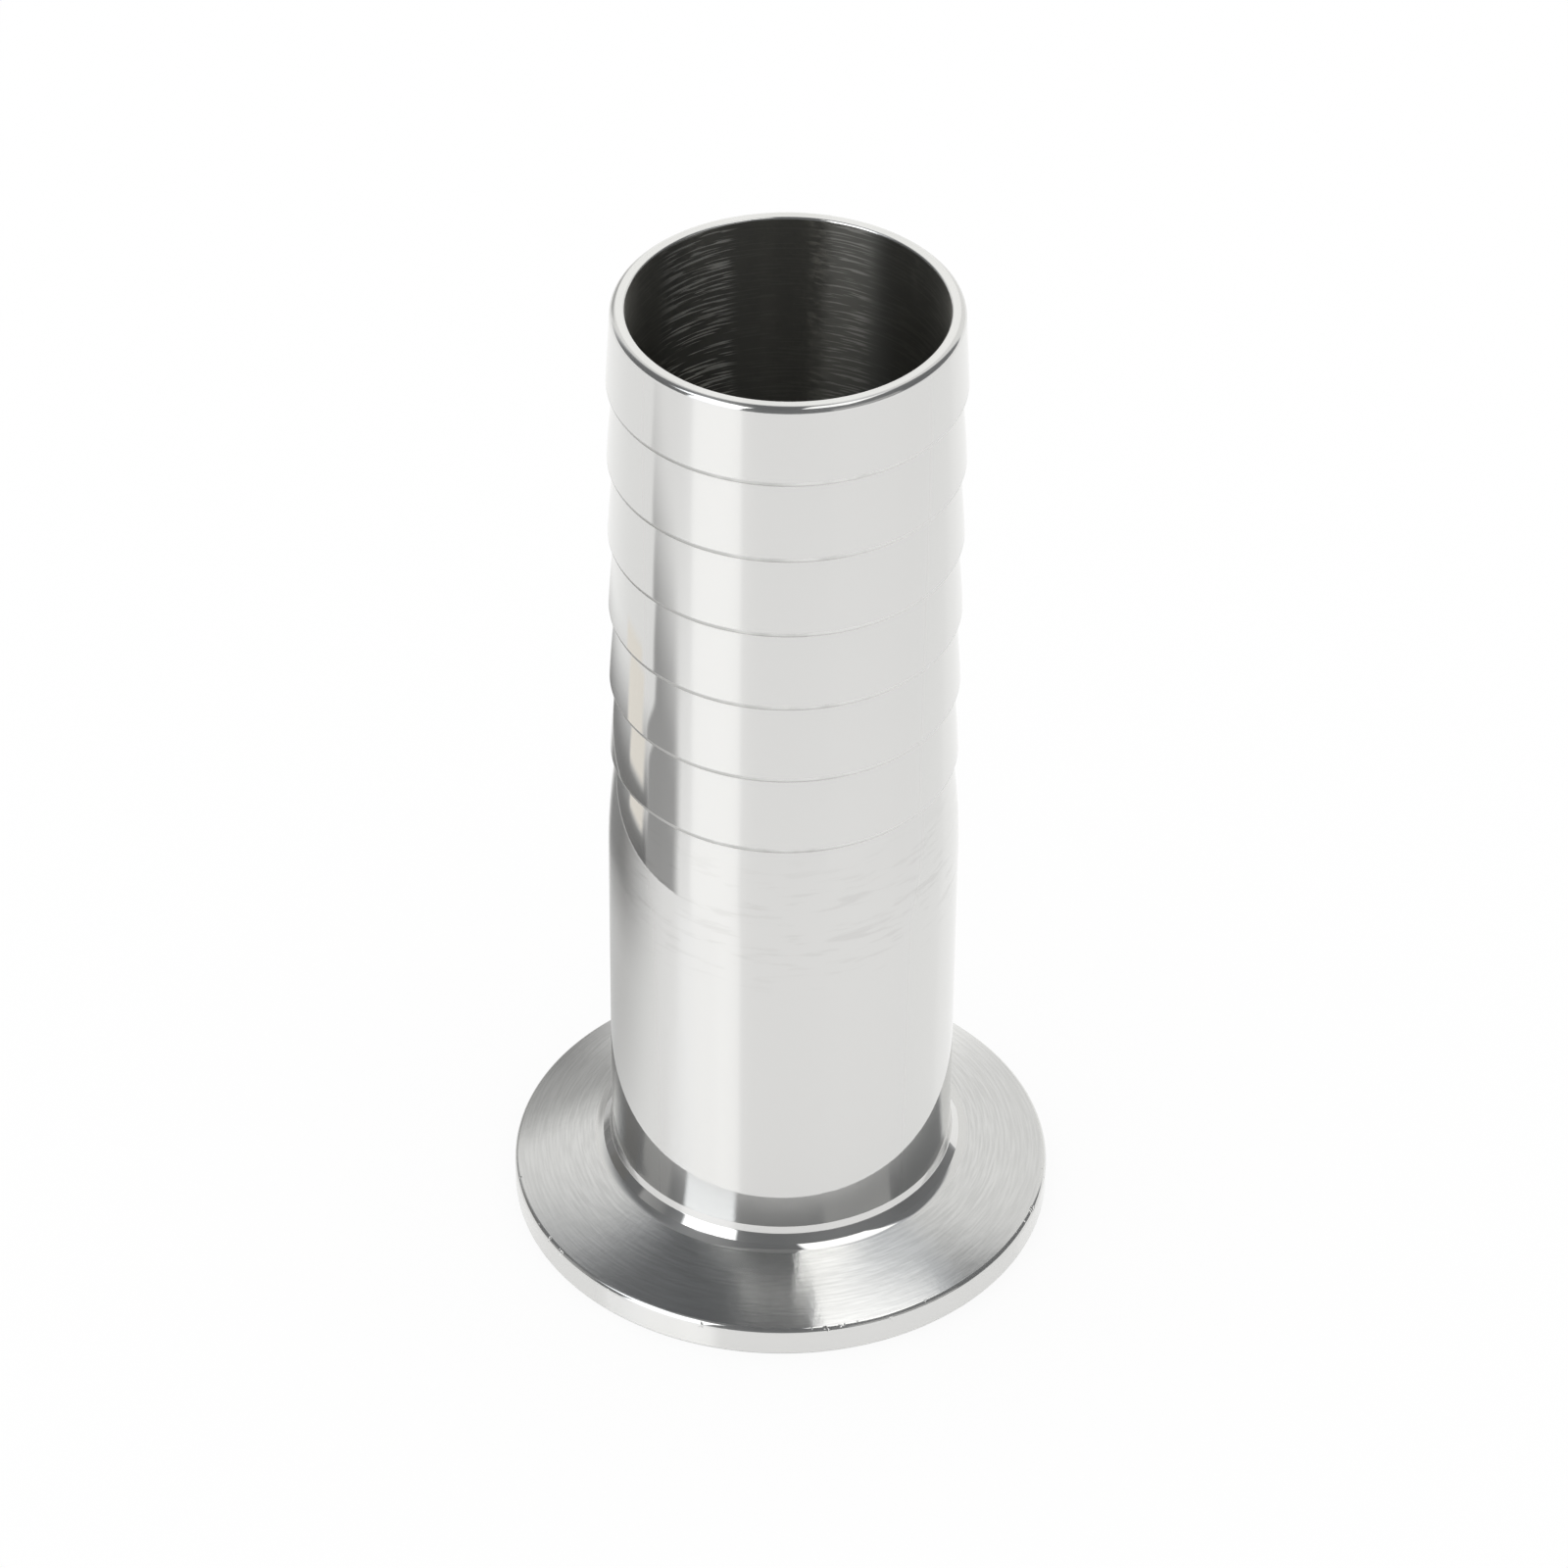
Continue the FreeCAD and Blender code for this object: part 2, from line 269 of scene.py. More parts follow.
def draw_section(sizes):
    """The whole section, from the bore's lower edge out over the flange and up to the tip."""
    flange, shank, bore = sizes.flange_radius, sizes.shank_radius, sizes.bore_radius
    collar_reach = sizes.collar_rise * math.tan(sizes.collar_slope)
    foot_reach = sizes.foot_rise * math.tan(sizes.foot_slope)
    curled = math.sin(sizes.cone_angle + sizes.apron_turn) - math.sin(sizes.cone_angle)
    apron = back_at(sizes, shank + collar_reach + foot_reach + sizes.apron_radius * curled)
    crest = shank - sizes.crest_relief
    root = crest - sizes.barb_depth
    tip = crest - sizes.tip_drop
    top = sizes.overall_length
    last_crest = top - sizes.tip_length
    first_crest = last_crest - (sizes.barb_count - 1) * sizes.barb_pitch
    shank_end = first_crest - sizes.runout_length

    start = (bore + sizes.bore_edge, 0)
    pen = Pen(start, TURNED)
    draw_groove(pen, sizes)
    pen.arc_to((flange, 0), (flange, sizes.rim_height), sizes.face_edge)
    pen.finish = POLISHED
    pen.arc_to(back_at(sizes, flange), apron, sizes.rim_edge)
    pen.finish = BRUSHED
    pen.bulge_to(apron, sizes.cone_crown)
    pen.finish = POLISHED
    pen.curl(-sizes.apron_turn, sizes.apron_radius)
    collar = pen.point + Vector((-foot_reach, sizes.foot_rise))
    neck_top = collar + Vector((-collar_reach, sizes.collar_rise))
    pen.arc_to(collar, neck_top, sizes.neck_round)
    pen.arc_to(neck_top, (shank, shank_end), sizes.neck_round)
    pen.line_to((shank, shank_end))
    fall = shank - root
    pen.bulge_to((root, first_crest), (fall ** 2 + sizes.runout_length ** 2) / (2 * fall))
    for barb in range(sizes.barb_count - 1):
        height = first_crest + barb * sizes.barb_pitch
        draw_barb(pen, (crest, height), (root, height + sizes.barb_pitch), sizes)
    round_crest(pen, (crest, last_crest), (tip, top), sizes)
    pen.arc_to((tip, top), (bore, top), sizes.tip_edge)
    pen.arc_to((bore, top), (bore, 0), sizes.bore_edge)
    pen.finish = SCRATCHED
    pen.arc_to((bore, 0), start, sizes.bore_edge)
    return pen.sides


def revolve(sides, name, segments):
    """Turn a closed section about Z, with the sides' own normals."""
    angles = np.arange(segments) * (2 * math.pi / segments)
    around = np.stack([np.cos(angles), np.sin(angles)], 1)

    def ring(point):
        radius, height = point
        return np.column_stack([around * radius, np.full(segments, height)])

    corners = np.concatenate([ring(start) for start, *_ in sides])
    here = np.arange(segments)
    after = (here + 1) % segments
    faces, normals = [], []
    for index, (_, _, start_normal, end_normal, _) in enumerate(sides):
        low = index * segments
        high = (index + 1) % len(sides) * segments
        faces.append(np.stack([low + here, low + after, high + after, high + here], 1))
        start_ring, end_ring = ring(start_normal), ring(end_normal)
        normals.append(np.stack([start_ring, start_ring[after], end_ring[after], end_ring], 1))

    mesh = bpy.data.meshes.new(name)
    mesh.from_pydata(corners, [], np.concatenate(faces).tolist())
    finishes = np.repeat([finish for *_, finish in sides], segments)
    mesh.polygons.foreach_set("material_index", finishes)
    mesh.shade_smooth()
    mesh.normals_split_custom_set(np.concatenate(normals).reshape(-1, 3).tolist())
    return mesh


class Signal:
    """A shader socket's value: an expression on it adds its Math nodes."""

    def __init__(self, socket):
        self.socket = socket

    def math(self, operation, *values):
        tree = self.socket.id_data
        node = tree.nodes.new("ShaderNodeMath")
        node.operation = operation
        for slot, value in zip(node.inputs, values):
            put(tree, slot, value)
        return Signal(node.outputs[0])

    def __add__(self, other):
        return self.math("ADD", self, other)

    def __sub__(self, other):
        return self.math("SUBTRACT", self, other)

    def __rsub__(self, other):
        return self.math("SUBTRACT", other, self)

    def __mul__(self, other):
        return self.math("MULTIPLY", self, other)

    def __truediv__(self, other):
        return self.math("DIVIDE", self, other)

    def __neg__(self):
        return self.math("MULTIPLY", self, -1)

    __radd__ = __add__
    __rmul__ = __mul__

    def root(self):
        return self.math("SQRT", self)

    def size(self):
        return self.math("ABSOLUTE", self)

    def most(self, other):
        return self.math("MAXIMUM", self, other)

    def arcsine(self):
        return self.math("ARCSINE", self)

    def angle_from(self, ahead):
        """Angle whose tangent is this value over the one ahead, all the way round."""
        return self.math("ARCTAN2", self, ahead)


def put(tree, slot, value):
    """Set a node's socket to a value, or link it. A colour comes without its alpha."""
    if isinstance(value, Signal):
        value = value.socket
    if isinstance(value, bpy.types.NodeSocket):
        tree.links.new(value, slot)
    elif slot.type == "RGBA":
        slot.default_value = (*value, 1)
    else:
        slot.default_value = value


class Shader:
    """The nodes of a material or of the world."""

    def __init__(self, owner):
        owner.use_nodes = True
        self.tree = owner.node_tree
        self.tree.nodes.clear()

    def node(self, kind, settings=None, sockets=None):
        """Add a node: its settings first, then the values or links of its sockets."""
        node = self.tree.nodes.new("ShaderNode" + kind)
        for name, setting in (settings or {}).items():
            setattr(node, name, setting)
        for name, value in (sockets or {}).items():
            put(self.tree, node.inputs[name], value)
        return node

    def parts(self, vector):
        """The three numbers of a vector."""
        return [Signal(part) for part in self.node("SeparateXYZ", None, {"Vector": vector}).outputs]

    def vector(self, x, y, z):
        return self.node("CombineXYZ", None, {"X": x, "Y": y, "Z": z}).outputs["Vector"]

    def noise(self, vector, detail):
        sockets = {"Vector": vector, "Scale": 1, "Detail": detail}
        return Signal(self.node("TexNoise", None, sockets).outputs["Fac"])

    def step(self, value, edge, softness):
        """0 below an edge and 1 above it, with a smooth change."""
        limits = {"Value": value, "From Min": edge - softness / 2, "From Max": edge + softness / 2}
        smooth = {"interpolation_type": "SMOOTHSTEP"}
        return Signal(self.node("MapRange", smooth, limits).outputs["Result"])

    def window(self, value, low, high, softness):
        """1 between two edges and 0 outside them, with a smooth change at both."""
        return self.step(value, low, softness) * (1 - self.step(value, high, softness))

    def mix_colour(self, factor, first, second):
        return self.node("Mix", {"data_type": "RGBA"}, {0: factor, 6: first, 7: second}).outputs[2]

    def mix_shader(self, factor, first, second):
        return self.node("MixShader", None, {0: factor, 1: first, 2: second}).outputs[0]

    def add(self, first, second):
        return self.node("AddShader", None, {0: first, 1: second}).outputs[0]

    def relief(self, height, depth, below=None):
        """The normal of a surface whose height varies from 0 to 1 times a depth."""
        sockets = {"Height": height, "Distance": depth}
        if below:
            sockets["Normal"] = below
        return self.node("Bump", None, sockets).outputs["Normal"]

    def glow(self, light):
        """Light of a colour, or of a level of white."""
        return self.node("Emission", None, {"Color": light, "Strength": 1}).outputs[0]

    def clear(self, colour):
        """Lets light through, tinted by a colour."""
        return self.node("BsdfTransparent", None, {"Color": colour}).outputs[0]

    def finish(self, shader, kind="Material"):
        self.node("Output" + kind, None, {"Surface": shader})


class Grain(NamedTuple):
    """A pattern in rings: how often it changes across them, per metre, and around, per radian.

    Marks made from it fade in over its softness.
    """

    across: float
    around: float
    detail: float = 3
    seed: float = 0
    softness: float = 0


class Turned:
    """Places on a turned surface: radius, height and two parts of the direction from the axis."""

    def __init__(self, shader):
        self.shader = shader
        x, y, self.height = shader.parts(shader.node("TexCoord").outputs["Object"])
        self.radius = (x * x + y * y).root()
        self.right, self.back = x / self.radius, y / self.radius

    def rings(self, along, grain):
        """Noise from 0 to 1 in rings that follow each other along a height or a radius."""
        x, y = self.right * grain.around + grain.seed, self.back * grain.around
        return self.shader.noise(self.shader.vector(x, y, along * grain.across), grain.detail)

    def marks(self, along, grain, threshold):
        """1 where that noise is above a threshold."""
        return self.shader.step(self.rings(along, grain), threshold, grain.softness)


# Patterns that the tools, the wheels and use left in the steel, with patches of painted shade on the
# crests
POLISH_WAVES = Grain(500, 5)
POLISH_LINES = Grain(9000, 3, seed=7)
RIM_NICKS = Grain(1200, 30, detail=2, seed=4, softness=0.08)
SCUFFS = Grain(1500, 4, detail=4, seed=11, softness=0.16)
BRUSH_WAVES = Grain(900, 30)
BRUSH_LINES = Grain(4000, 9, detail=4, seed=3)
BRUSH_STREAKS = Grain(4500, 6, detail=4, seed=9, softness=0.4)
BORE_WAVES = Grain(200, 2)
BORE_SCRATCHES = Grain(4500, 3.2, detail=2, seed=5, softness=0.06)
TURNING_LINES = Grain(2500, 5, detail=4)
# Patches of painted shade on the barbs' crests
CREST_SHADE_PATCHES = Grain(120, 6, seed=2, softness=0.4)

# Where the marks are: edges and their softness, with the sides from -1, left, to 1, right
NICKED_ABOVE = (2.3 * MM, 0.3 * MM)
NICKED_OUTSIDE_SOFTNESS = 1 * MM
SCUFFED_HEIGHTS = (37 * MM, 49 * MM, 6 * MM)
STREAK_THRESHOLD = 0.5
OUTER_SOFTNESS = 5 * MM
OUTER_DULLNESS = 0.35
# Where the bore's scratches gather, where the light falls on them: painted glints
GLINT_BAND_LEFT = (-0.76, -0.36, 0.12)
GLINT_BAND_RIGHT = (0.24, 0.5, 0.1)
RIGHT_GLINT_BAND_SHARE = 0.2
OTHER_SCRATCHES = 0.04
# No painted shade on the crests at the far left
UNSHADED_FAR_LEFT = (0.94, 0.08)

# Turns the stretch of the gloss across the rings
ACROSS_RINGS = 0.25
TURNED_STRETCH = 0.6


def grey(level):
    return (level, level, level)


def new_steel(name):
    """A material, its nodes and the places on the part that they can tell apart."""
    material = bpy.data.materials.new(name)
    shader = Shader(material)
    return material, shader, Turned(shader)


def steel_surface(shader, colour, roughness, normal=None, stretch=0):
    """Bare steel, whose gloss may be stretched across its polishing lines."""
    sockets = {
        "Base Color": colour, "Metallic": 1, "Roughness": roughness,
        "Anisotropic": stretch, "Anisotropic Rotation": ACROSS_RINGS,
    }
    if normal:
        sockets["Normal"] = normal
    return shader.node("BsdfPrincipled", {"distribution": "GGX"}, sockets).outputs[0]


def polished_steel(looks):
    """Mirror polish with a haze of fine lines, scuffs above the shank and nicks on the rim's edge."""
    material, shader, place = new_steel("polished steel")
    waves = shader.relief(place.rings(place.height, POLISH_WAVES), looks.wave_depth)
    edge = shader.step(place.radius, looks.nick_radius, NICKED_OUTSIDE_SOFTNESS)
    edge = edge * shader.step(place.height, *NICKED_ABOVE)
    nicks = place.marks(place.height, RIM_NICKS, looks.nick_threshold) * edge
    nicked = shader.relief(1 - nicks, looks.nick_depth, waves)
    normal = shader.relief(place.rings(place.height, POLISH_LINES), looks.line_depth, nicked)
    scuffs = place.marks(place.height, SCUFFS, looks.scuff_threshold)
    scuffs = scuffs * shader.window(place.height, *SCUFFED_HEIGHTS)
    colour = shader.mix_colour(scuffs, looks.steel_colour, looks.scuff_colour)
    mirror = steel_surface(shader, colour, looks.mirror_roughness, normal)
    haze = steel_surface(shader, colour, looks.haze_roughness, normal, stretch=1)
    shader.finish(shader.mix_shader(looks.haze_share, mirror, haze))
    return material


def brushed_steel(looks):
    """Fine brushing round the flange's back, duller in streaks and towards the rim."""
    material, shader, place = new_steel("brushed steel")
    waves = shader.relief(place.rings(place.radius, BRUSH_WAVES), looks.brush_wave_depth)
    normal = shader.relief(place.rings(place.radius, BRUSH_LINES), looks.brush_depth, waves)
    outside = shader.step(place.radius, looks.outer_radius, OUTER_SOFTNESS)
    clear = place.marks(place.radius, BRUSH_STREAKS, STREAK_THRESHOLD) * (1 - OUTER_DULLNESS * outside)
    colour = shader.mix_colour(clear, looks.streak_colour, looks.brushed_colour)
    shader.finish(steel_surface(shader, colour, looks.brushed_roughness, normal, stretch=1))
    return material


def scratched_steel(looks):
    """Bore, with the rings of its tool and scratches, thickest in two places where the light falls on
    them and brighter than the bore: painted glints.
    """
    material, shader, place = new_steel("scratched steel")
    left = shader.window(place.right, *GLINT_BAND_LEFT)
    right = shader.window(place.right, *GLINT_BAND_RIGHT)
    glint_bands = left.most(RIGHT_GLINT_BAND_SHARE * right)
    scratched = place.marks(place.height, BORE_SCRATCHES, looks.scratch_threshold)
    scratched = scratched * (OTHER_SCRATCHES + (1 - OTHER_SCRATCHES) * glint_bands)
    normal = shader.relief(place.rings(place.height, BORE_WAVES), looks.wave_depth)
    # Darker steel in the bore: painted shade
    mirror = steel_surface(shader, looks.bore_colour, looks.mirror_roughness, normal)
    haze = steel_surface(shader, looks.bore_colour, looks.bore_roughness, normal, stretch=1)
    rough = steel_surface(shader, looks.scratch_glint_colour, looks.scratch_roughness, normal, stretch=1)
    smooth = shader.mix_shader(looks.bore_haze, mirror, haze)
    shader.finish(shader.mix_shader(scratched, smooth, rough))
    return material


def turned_steel(looks):
    """Rings that the turning tool left on the clamp face."""
    material, shader, place = new_steel("turned steel")
    lines = place.rings(place.height + place.radius, TURNING_LINES)
    normal = shader.relief(lines, looks.turning_depth)
    surface = steel_surface(
        shader, looks.steel_colour, looks.turned_roughness, normal, stretch=TURNED_STRETCH)
    shader.finish(surface)
    return material


def crest_steel_with_painted_shade(looks):
    """Crests of the barbs, rough, with patches of painted shade that grow towards the left and stop at
    the far left.
    """
    material, shader, place = new_steel("crest steel with painted shade")
    patches = place.rings(place.height, CREST_SHADE_PATCHES) - place.right * looks.crest_shade_lean
    shaded = shader.step(patches, looks.crest_shade_threshold, CREST_SHADE_PATCHES.softness)
    shaded = shaded * (1 - shader.step(-place.right, *UNSHADED_FAR_LEFT))
    colour = shader.mix_colour(shaded, looks.steel_colour, looks.crest_shade_colour)
    shader.finish(steel_surface(shader, colour, looks.crest_roughness))
    return material


class BarbLooks(bpy.types.PropertyGroup):
    """Colour and gloss of the steel."""

    steel_colour: Colour(
        name="Steel", description="Reflected colour of the bare steel", default=(0.778, 0.776, 0.76))
    mirror_roughness: Share(
        name="Mirror Roughness", description="Of the mirror polish", default=0.02)
    wave_depth: Depth(
        name="Waves", description="Depth of the polish's slow waves", default=2e-6)
    line_depth: Depth(
        name="Polishing Lines", description="Depth of the polish's fine lines", default=2e-7)
    haze_share: Share(
        name="Haze", description="Share of the gloss that fine polishing lines spread", default=0.25)
    haze_roughness: Share(
        name="Haze Roughness", description="How far those lines spread it", default=0.45)
    scuff_colour: Colour(
        name="Scuffs", description="Reflected colour of the scuffs above the shank",
        default=(0.72, 0.715, 0.7))
    scuff_threshold: Share(
        name="Scuff Threshold", description="Higher leaves fewer scuffs", default=0.6)
    nick_radius: Length(
        name="Nicked From", description="Radius outside which the rim's edge is nicked",
        default=24.6 * MM)
    nick_threshold: Share(
        name="Nick Threshold", description="Higher leaves fewer nicks", default=0.7)
    nick_depth: Depth(
        name="Nicks", description="Depth of the nicks on the rim's edge", default=6e-5)
    brushed_colour: Colour(
        name="Brushed", description="Reflected colour of the flange's back",
        default=(0.745, 0.745, 0.735))
    streak_colour: Colour(
        name="Streaks", description="Reflected colour of that back's duller streaks",
        default=(0.65, 0.65, 0.64))
    outer_radius: Length(
        name="Streaked From", description="Radius outside which that back is duller", default=22 * MM)
    brushed_roughness: Share(
        name="Brushed Roughness", description="Of the flange's back", default=0.12)
    brush_wave_depth: Depth(
        name="Brushing Waves", description="Depth of the broad rings of the brushing", default=5e-6)
    brush_depth: Depth(
        name="Brushing Lines", description="Depth of the fine lines of the brushing", default=4e-6)
    # The bore's steel is darker than the outside's: painted shade in the bore
    bore_colour: Colour(
        name="Bore", description="Reflected colour of the bore", default=(0.5, 0.495, 0.46))
    bore_haze: Share(
        name="Bore Haze", description="Share of the bore's gloss that its rings spread", default=0.3)
    bore_roughness: Share(
        name="Bore Roughness", description="How far the bore's rings spread the light", default=0.42)
    # Scratches brighter than the bore, for painted glints
    scratch_glint_colour: Colour(
        name="Scratches", description="Reflected colour of the scratches in the bore",
        default=(0.72, 0.71, 0.67))
    scratch_threshold: Share(
        name="Scratch Threshold", description="Higher leaves fewer scratches in the bore", default=0.56)
    scratch_roughness: Share(
        name="Scratch Roughness", description="How far those scratches spread the light", default=0.5)
    # Painted shade on the crests: its colour, how much of it and how far it leans to the left; the
    # roughness is the crests' own
    crest_shade_colour: Colour(
        name="Worn", description="Reflected colour of the barbs' worn crests",
        default=(0.6, 0.6, 0.585))
    crest_roughness: Share(
        name="Worn Roughness", description="Of those crests", default=0.45)
    crest_shade_threshold: Share(
        name="Worn Threshold", description="Higher leaves fewer dull patches on the crests",
        default=0.5)
    crest_shade_lean: Share(
        name="Worn Lean", description="How much duller the crests are on the left", default=0.5)
    turned_roughness: Share(
        name="Turned Roughness", description="Of the clamp face", default=0.3)
    turning_depth: Depth(
        name="Turning Lines", description="Depth of the rings on the clamp face", default=2e-6)


class BarbStudio(bpy.types.PropertyGroup):
    """Camera, table and the light that the steel reflects."""

    lens: FloatProperty(
        name="Lens", description="Focal length on a 36 mm sensor", default=140.93, min=1)
    camera_distance: Length(
        name="Camera Distance", description="Level distance from the axis", default=437.1 * MM)
    camera_height: Length(
        name="Camera Height", description="Above the table", default=392.0 * MM)
    aim_height: Length(
        name="Aim Height", description="Point of the axis in the picture's middle", default=47.1 * MM)
    camera_roll: Angle(
        name="Camera Roll", description="Tilt of the picture", default=math.radians(0.498))
    table_size: Length(
        name="Table", description="Side of the white table", default=6)
    table_glow: Share(
        name="Table Glow", description="Part of the table's white that no shadow takes", default=0.86)
    table_gloss: Share(
        name="Table Gloss", description="Light that the table mirrors", default=0.07)
    room_level: Level(
        name="Room", description="Dark room between the softboxes", default=0.14)
    side_level: Level(
        name="Sides", description="Darkest parts of the room, to both sides", default=0.12)
    ceiling_level: Level(
        name="Ceiling", description="Room overhead, beside the softbox", default=0.13)
    spill_level: Level(
        name="Spill", description="Ceiling between the overhead softbox and the wall", default=0.64)
    wall_level: Level(
        name="Back Wall", description="Pale wall behind the object", default=0.9)
    corner_level: Level(
        name="Corner", description="Dark corner of that wall, low on the left", default=0.45)
    glow_level: Level(
        name="Wall Glow", description="Lit middle of that wall", default=1.15)
    wall_top: Angle(
        name="Wall Top", description="Elevation of that wall's upper edge", default=math.radians(61))
    side_softbox_level: Level(
        name="Side Softbox", description="Tall softbox to the left, 1 is white", default=2.5)
    foot_softbox_level: Level(
        name="Side Softbox Foot", description="Lower end of that softbox", default=1.6)
    high_softbox_level: Level(
        name="High Softbox", description="Softbox high on the left, 1 is white", default=1.9)
    right_softbox_level: Level(
        name="Right Softbox", description="Softbox on the right, 1 is white", default=0.45)
    top_softbox_level: Level(
        name="Top Softbox", description="Softbox overhead, 1 is white", default=1.7)
    edge_softbox_level: Level(
        name="Top Softbox Edge", description="Its dimmer edge towards the wall", default=1.12)
    room_colour: Colour(
        name="Room Colour", description="Tint of the dark room", default=(0.93, 0.96, 1))
    wall_colour: Colour(
        name="Wall Colour", description="Tint of the wall and the lights", default=(1, 1, 0.99))
    # The card is a painted reflection, a dimly glowing sheet that only the steel's reflections see
    card_distance: Length(
        name="Card Distance", description="Dark card beside the object, from the axis", default=80 * MM)
    card_height: Length(
        name="Card Height", description="Card's near end, above the table", default=70 * MM)
    card_far_height: Length(
        name="Card Far Height", description="The rest of the card, above the table", default=24 * MM)
    card_level: Level(
        name="Card", description="Brightness of the card's near end", default=0.36)
    card_far_level: Level(
        name="Card Far Level", description="Brightness of the rest of the card", default=0.14)
    # Painted shadow of the card on the table, which only the steel's reflections see
    painted_card_shade: Share(
        name="Card Shade", description="How much the card darkens the table before it", default=0.95)
    # Beige painted reflection, through a gap in the card
    gap_reflection_colour: Colour(
        name="Card Gap", description="Beige tint of the table through a gap in the card",
        default=(1.0, 0.95, 0.87))


def in_degrees(*angles):
    """Angles given in degrees, in radians."""
    return tuple(math.radians(angle) for angle in angles)


class Patch(NamedTuple):
    """A part of the studio, in degrees. Bearing 0 is towards the camera, and 90 to the right."""

    left: float
    right: float
    low: float
    high: float
    softness: float


# Parts of the studio that the steel reflects
LEFT_SIDE = Patch(-112, -62, -10, 40, 20)
RIGHT_SIDE = Patch(72, 118, 5, 42, 16)
CORNER = Patch(-174, -144, -5, 25, 9)
WALL_GLOW = Patch(165, 200, -90, 48, 10)
SIDE_BOX = Patch(-61, -28, 14, 58, 4)
SIDE_BOX_FOOT = Patch(-61, -28, -5, 20, 4)
HIGH_BOX = Patch(-82, -44, 36, 64, 8)
RIGHT_BOX = Patch(27, 72, 6, 24, 4)

# Windows of bearing and elevation: two edges and their softness, past 180 or 90 to go all the way
WALL_LEFT = in_degrees(-200, -130, 26)
WALL_RIGHT = in_degrees(127, 200, 8)
WALL_FOOT = math.radians(-90)
WALL_LEFT_DROP, WALL_LEFT_SOFTNESS, WALL_RIGHT_SOFTNESS = in_degrees(2, 18, 12)
CEILING_ELEVATIONS = in_degrees(68, 100, 10)
OVERHEAD_ELEVATIONS = in_degrees(40, 100, 4)
SPILL_ELEVATIONS = in_degrees(30, 100, 4)

# Windows and edges on the ceiling, to the right and to the back, for a ceiling 1 above the object
LOWEST_CEILING = 0.01
OVERHEAD_ACROSS = (0.1, 0.5, 0.03)
OVERHEAD_FRONT = (-0.35, 0.08)
OVERHEAD_RIGHT = (0.25, 0.28)
OVERHEAD_BACK = (0.3, 0.2)
CORE_BACK = (0.03, 0.05)
CORE_SLANT = 0.5
SPILL_ACROSS = (0.15, 0.53, 0.08)
SPILL_ALONG = (0.12, 0.65, 0.06)


def sky_light(shader, studio):
    """Colour and brightness of the studio in each direction, as the steel reflects it."""
    x, y, z = shader.parts(shader.node("TexCoord").outputs["Generated"])
    bearing = x.angle_from(-y)
    elevation = z.arcsine()
    height = z.most(LOWEST_CEILING)
    ceiling_x, ceiling_y = x / height, y / height

    def patch(place, across=bearing):
        left, right, low, high, softness = in_degrees(*place)
        inside = shader.window(across, left, right, softness)
        return inside * shader.window(elevation, low, high, softness)

    def wall_part(bearings, top, softness):
        return shader.window(bearing, *bearings) * shader.window(elevation, WALL_FOOT, top, softness)

    wall_left = wall_part(WALL_LEFT, studio.wall_top - WALL_LEFT_DROP, WALL_LEFT_SOFTNESS)
    wall = wall_left.most(wall_part(WALL_RIGHT, studio.wall_top, WALL_RIGHT_SOFTNESS))

    overhead = shader.window(ceiling_x, *OVERHEAD_ACROSS) * shader.step(ceiling_y, *OVERHEAD_FRONT)
    overhead = overhead * shader.window(elevation, *OVERHEAD_ELEVATIONS)
    core = 1 - shader.step(ceiling_y - CORE_SLANT * ceiling_x, *CORE_BACK)
    overhead = overhead * core.most(1 - shader.step(ceiling_x, *OVERHEAD_RIGHT))
    overhead = overhead * (1 - shader.step(ceiling_y, *OVERHEAD_BACK))
    edge_level = studio.edge_softbox_level
    overhead_level = edge_level + core * (studio.top_softbox_level - edge_level)

    spill = shader.window(ceiling_x, *SPILL_ACROSS) * shader.window(ceiling_y, *SPILL_ALONG)
    spill = spill * shader.window(elevation, *SPILL_ELEVATIONS)
    side_box = patch(SIDE_BOX)
    right_box = patch(RIGHT_BOX)
    layers = (
        (patch(LEFT_SIDE), studio.side_level),
        (patch(RIGHT_SIDE), studio.side_level),
        (shader.window(elevation, *CEILING_ELEVATIONS), studio.ceiling_level),
        (spill, studio.spill_level),
        (wall, studio.wall_level),
        (patch(CORNER), studio.corner_level),
        (patch(WALL_GLOW, bearing.size()), studio.glow_level),
        (patch(SIDE_BOX_FOOT), studio.foot_softbox_level),
        (side_box, studio.side_softbox_level),
        (patch(HIGH_BOX), studio.high_softbox_level),
        (right_box, studio.right_softbox_level),
        (overhead, overhead_level),
    )
    level = studio.room_level
    for mask, layer_level in layers:
        level = level + (layer_level - level) * mask
    pale = wall.most(side_box).most(right_box).most(overhead)
    return shader.mix_colour(pale, studio.room_colour, studio.wall_colour), level


def build_world(studio):
    """Plain white light, with the studio in the steel's reflections."""
    world = bpy.data.worlds.new("studio")
    shader = Shader(world)
    mirrored = shader.node("LightPath").outputs["Is Glossy Ray"]
    colour, level = sky_light(shader, studio)
    seen = shader.node("Background", None, {"Color": colour, "Strength": level}).outputs[0]
    plain = shader.node("Background", None, {"Color": grey(1), "Strength": 1}).outputs[0]
    shader.finish(shader.mix_shader(mirrored, plain, seen), "World")
    return world


def stage_mesh(name, points, faces, material):
    """A mesh with its material, linked to the scene."""
    mesh = bpy.data.meshes.new(name)
    mesh.from_pydata(points, [], faces)
    mesh.materials.append(material)
    piece = bpy.data.objects.new(name, mesh)
    bpy.context.scene.collection.objects.link(piece)
    return piece


